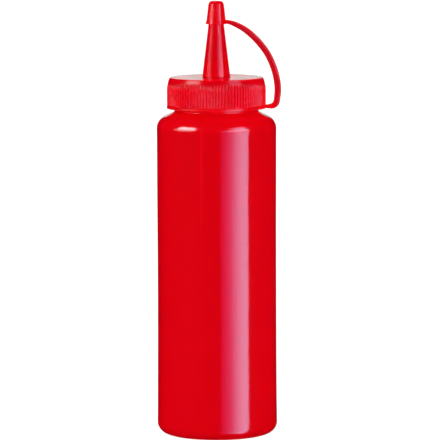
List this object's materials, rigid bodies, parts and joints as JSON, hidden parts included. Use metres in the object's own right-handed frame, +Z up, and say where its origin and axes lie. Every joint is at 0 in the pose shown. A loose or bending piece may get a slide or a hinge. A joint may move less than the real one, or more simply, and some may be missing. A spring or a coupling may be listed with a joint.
{
  "type": "squeeze bottle",
  "caption": "Tall round squeeze bottle for sauce, with a ribbed screw cap, a cone nozzle and a tip cap held by an arched strap.",
  "frame": {"origin": "centre of the base, on the plane that the bottle stands on", "axes": "+Z up along the bottle's axis to the nozzle's tip; +X to the side that the tether arches over; -Y to the side that faces the viewer"},
  "size_m": [0.058, 0.056, 0.2018],
  "materials": {
    "bottle": "glossy blow-moulded polyethylene, red all through",
    "screw_cap": "glossy injection-moulded plastic, red all through",
    "tether": "glossy soft injection-moulded plastic, red all through"
  },
  "bodies": {
    "root": {"bottle": "bottle", "screw_cap": "screw_cap", "tether": "tether"}
  },
  "joints": []
}
